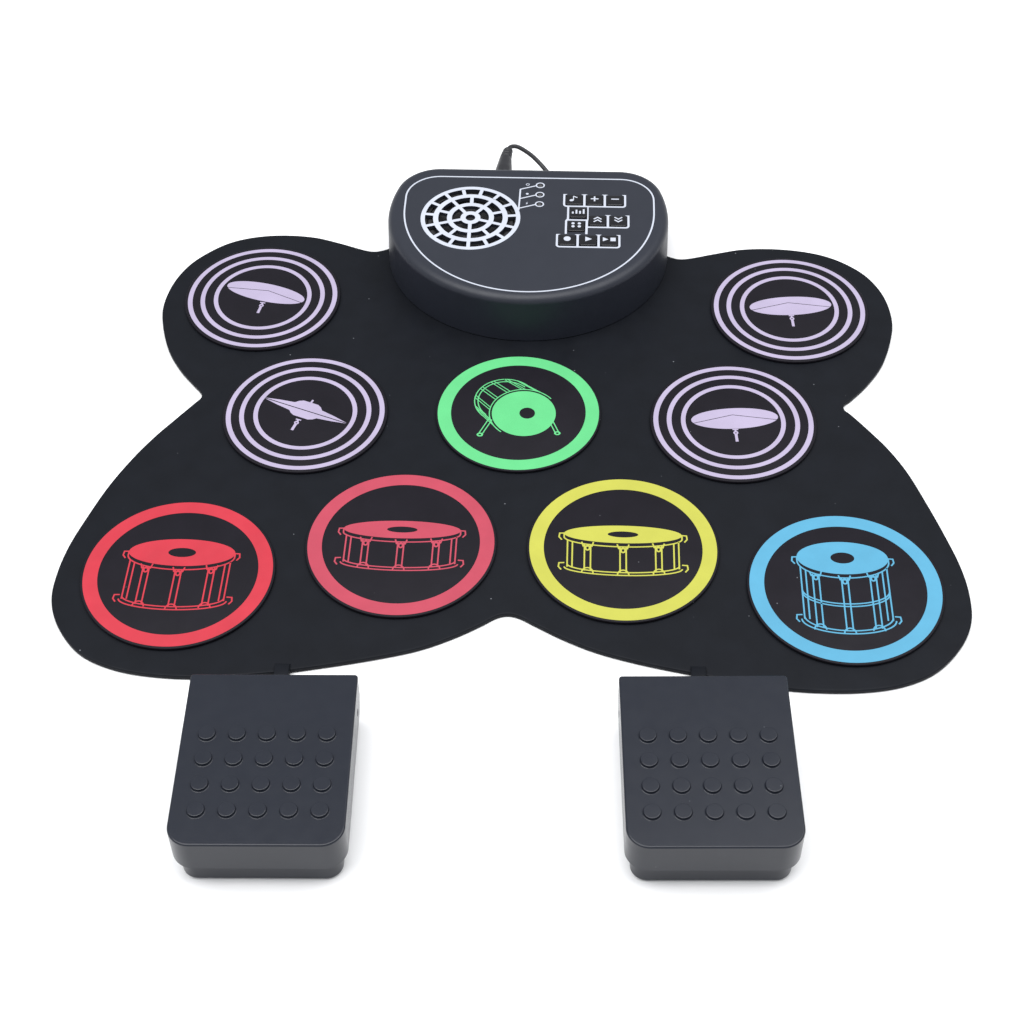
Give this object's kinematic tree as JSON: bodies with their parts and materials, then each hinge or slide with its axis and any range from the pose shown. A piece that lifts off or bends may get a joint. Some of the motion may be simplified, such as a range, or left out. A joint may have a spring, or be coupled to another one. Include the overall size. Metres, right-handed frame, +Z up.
{
  "type": "electronic drum pad",
  "caption": "Portable roll-up electronic drum kit: thin silicone mat with round drum and cymbal pads, a D-shaped speaker and control module at the back, and hinged foot pedals.",
  "frame": {"origin": "on the floor, in the middle of the box around mat, module and pedals, the leads left out", "axes": "+Z up, +Y away from the player, towards the sound module; +X to the player's right"},
  "size_m": [0.4422, 0.5017, 0.0333],
  "materials": {
    "mat_silicone": "satin black silicone",
    "sensor_film": "thin polyester film",
    "pad_silicone": "satin silicone with coloured printed rings",
    "case_plastic": "fine satin moulded ABS",
    "key_plastic": "gloss black",
    "membrane_silicone": "matt grey silicone",
    "steel": "plated steel",
    "ferrite": "ground ferrite",
    "cone_paper": "matt pressed paper",
    "circuit_board": "green solder mask",
    "battery_foil": "foil pouch",
    "light_guide": "clear moulded",
    "jack_plastic": "moulded black",
    "lead_rubber": "satin cable sheath",
    "plug_plastic": "moulded plug",
    "pedal_plastic": "semi-gloss moulded ABS",
    "sole_rubber": "matt foam rubber"
  },
  "bodies": {
    "frame": {"mat_top_sheet": "mat_silicone", "mat_bottom_sheet": "mat_silicone", "mat_sensor_film": "sensor_film", "module_top_case": "case_plastic", "module_bottom_case": "case_plastic", "keypad_membrane": "membrane_silicone", "speaker_frame": "steel", "charge_socket": "steel", "power_switch_body": "steel", "case_screw_1": "steel", "case_screw_2": "steel", "case_screw_3": "steel", "case_screw_4": "steel", "pedal_left_hinge_pin": "steel", "pedal_right_hinge_pin": "steel", "pedal_left_return_spring": "steel", "pedal_right_return_spring": "steel", "speaker_magnet": "ferrite", "main_board": "circuit_board", "pedal_left_switch_board": "circuit_board", "pedal_right_switch_board": "circuit_board", "battery_cell": "battery_foil", "led_light_guide": "light_guide", "pedal_jack": "jack_plastic", "headphone_jack": "jack_plastic", "pedal_left_lead": "lead_rubber", "pedal_right_lead": "lead_rubber", "pedal_circuit_lead": "lead_rubber", "pedal_left_lead_gland": "lead_rubber", "pedal_right_lead_gland": "lead_rubber", "mat_rear_gland": "lead_rubber", "pedal_plug": "plug_plastic", "pedal_left_base": "pedal_plastic", "pedal_right_base": "pedal_plastic", "pedal_left_rubber_sole": "sole_rubber", "pedal_right_rubber_sole": "sole_rubber"},
    "drum_pad_left_outer": {"drum_pad_left_outer": "pad_silicone"},
    "drum_pad_left_inner": {"drum_pad_left_inner": "pad_silicone"},
    "drum_pad_right_inner": {"drum_pad_right_inner": "pad_silicone"},
    "drum_pad_right_outer": {"drum_pad_right_outer": "pad_silicone"},
    "drum_pad_centre": {"drum_pad_centre": "pad_silicone"},
    "cymbal_pad_left_front": {"cymbal_pad_left_front": "pad_silicone"},
    "cymbal_pad_right_front": {"cymbal_pad_right_front": "pad_silicone"},
    "cymbal_pad_left_rear": {"cymbal_pad_left_rear": "pad_silicone"},
    "cymbal_pad_right_rear": {"cymbal_pad_right_rear": "pad_silicone"},
    "key_demo": {"key_demo": "key_plastic"},
    "key_volume_up": {"key_volume_up": "key_plastic"},
    "key_volume_down": {"key_volume_down": "key_plastic"},
    "key_rhythm": {"key_rhythm": "key_plastic"},
    "key_style": {"key_style": "key_plastic"},
    "key_tempo_up": {"key_tempo_up": "key_plastic"},
    "key_tempo_down": {"key_tempo_down": "key_plastic"},
    "key_record": {"key_record": "key_plastic"},
    "key_play": {"key_play": "key_plastic"},
    "key_start_stop": {"key_start_stop": "key_plastic"},
    "speaker_cone": {"speaker_cone": "cone_paper"},
    "power_switch_knob": {"power_switch_knob": "key_plastic"},
    "pedal_left_cover": {"pedal_left_cover": "pedal_plastic"},
    "pedal_right_cover": {"pedal_right_cover": "pedal_plastic"}
  },
  "joints": [
    {"name": "drum_pad_left_outer_press", "type": "slide", "parent": "frame", "child": "drum_pad_left_outer", "axis": [0, 0, -1], "range_m": [0, 0.0004], "stiffness_N_per_m": 1500},
    {"name": "drum_pad_left_inner_press", "type": "slide", "parent": "frame", "child": "drum_pad_left_inner", "axis": [0, 0, -1], "range_m": [0, 0.0004], "stiffness_N_per_m": 1500},
    {"name": "drum_pad_right_inner_press", "type": "slide", "parent": "frame", "child": "drum_pad_right_inner", "axis": [0, 0, -1], "range_m": [0, 0.0004], "stiffness_N_per_m": 1500},
    {"name": "drum_pad_right_outer_press", "type": "slide", "parent": "frame", "child": "drum_pad_right_outer", "axis": [0, 0, -1], "range_m": [0, 0.0004], "stiffness_N_per_m": 1500},
    {"name": "drum_pad_centre_press", "type": "slide", "parent": "frame", "child": "drum_pad_centre", "axis": [0, 0, -1], "range_m": [0, 0.0004], "stiffness_N_per_m": 1500},
    {"name": "cymbal_pad_left_front_press", "type": "slide", "parent": "frame", "child": "cymbal_pad_left_front", "axis": [0, 0, -1], "range_m": [0, 0.0004], "stiffness_N_per_m": 1500},
    {"name": "cymbal_pad_right_front_press", "type": "slide", "parent": "frame", "child": "cymbal_pad_right_front", "axis": [0, 0, -1], "range_m": [0, 0.0004], "stiffness_N_per_m": 1500},
    {"name": "cymbal_pad_left_rear_press", "type": "slide", "parent": "frame", "child": "cymbal_pad_left_rear", "axis": [0, 0, -1], "range_m": [0, 0.0004], "stiffness_N_per_m": 1500},
    {"name": "cymbal_pad_right_rear_press", "type": "slide", "parent": "frame", "child": "cymbal_pad_right_rear", "axis": [0, 0, -1], "range_m": [0, 0.0004], "stiffness_N_per_m": 1500},
    {"name": "key_demo_press", "type": "slide", "parent": "frame", "child": "key_demo", "axis": [0, 0, -1], "range_m": [0, 0.0008], "stiffness_N_per_m": 300},
    {"name": "key_volume_up_press", "type": "slide", "parent": "frame", "child": "key_volume_up", "axis": [0, 0, -1], "range_m": [0, 0.0008], "stiffness_N_per_m": 300},
    {"name": "key_volume_down_press", "type": "slide", "parent": "frame", "child": "key_volume_down", "axis": [0, 0, -1], "range_m": [0, 0.0008], "stiffness_N_per_m": 300},
    {"name": "key_rhythm_press", "type": "slide", "parent": "frame", "child": "key_rhythm", "axis": [0, 0, -1], "range_m": [0, 0.0008], "stiffness_N_per_m": 300},
    {"name": "key_style_press", "type": "slide", "parent": "frame", "child": "key_style", "axis": [0, 0, -1], "range_m": [0, 0.0008], "stiffness_N_per_m": 300},
    {"name": "key_tempo_up_press", "type": "slide", "parent": "frame", "child": "key_tempo_up", "axis": [0, 0, -1], "range_m": [0, 0.0008], "stiffness_N_per_m": 300},
    {"name": "key_tempo_down_press", "type": "slide", "parent": "frame", "child": "key_tempo_down", "axis": [0, 0, -1], "range_m": [0, 0.0008], "stiffness_N_per_m": 300},
    {"name": "key_record_press", "type": "slide", "parent": "frame", "child": "key_record", "axis": [0, 0, -1], "range_m": [0, 0.0008], "stiffness_N_per_m": 300},
    {"name": "key_play_press", "type": "slide", "parent": "frame", "child": "key_play", "axis": [0, 0, -1], "range_m": [0, 0.0008], "stiffness_N_per_m": 300},
    {"name": "key_start_stop_press", "type": "slide", "parent": "frame", "child": "key_start_stop", "axis": [0, 0, -1], "range_m": [0, 0.0008], "stiffness_N_per_m": 300},
    {"name": "speaker_cone_throw", "type": "slide", "parent": "frame", "child": "speaker_cone", "axis": [0, 0, 1], "range_m": [-0.0005, 0.0005], "stiffness_N_per_m": 300},
    {"name": "power_switch_slide", "type": "slide", "parent": "frame", "child": "power_switch_knob", "axis": [1, 0, 0], "range_m": [0, 0.002]},
    {"name": "pedal_left_hinge", "type": "hinge", "parent": "frame", "child": "pedal_left_cover", "pos_m": [-0.101, -0.15373, 0.0207], "axis": [0.9996, 0.0279, 0], "range_deg": [0, 4], "stiffness_Nm_per_rad": 5, "springref_deg": -3, "deforming": ["pedal_left_return_spring"]},
    {"name": "pedal_right_hinge", "type": "hinge", "parent": "frame", "child": "pedal_right_cover", "pos_m": [0.08917, -0.14845, 0.0207], "axis": [0.9994, 0.0349, 0], "range_deg": [0, 4], "stiffness_Nm_per_rad": 5, "springref_deg": -3, "deforming": ["pedal_right_return_spring"]}
  ]
}
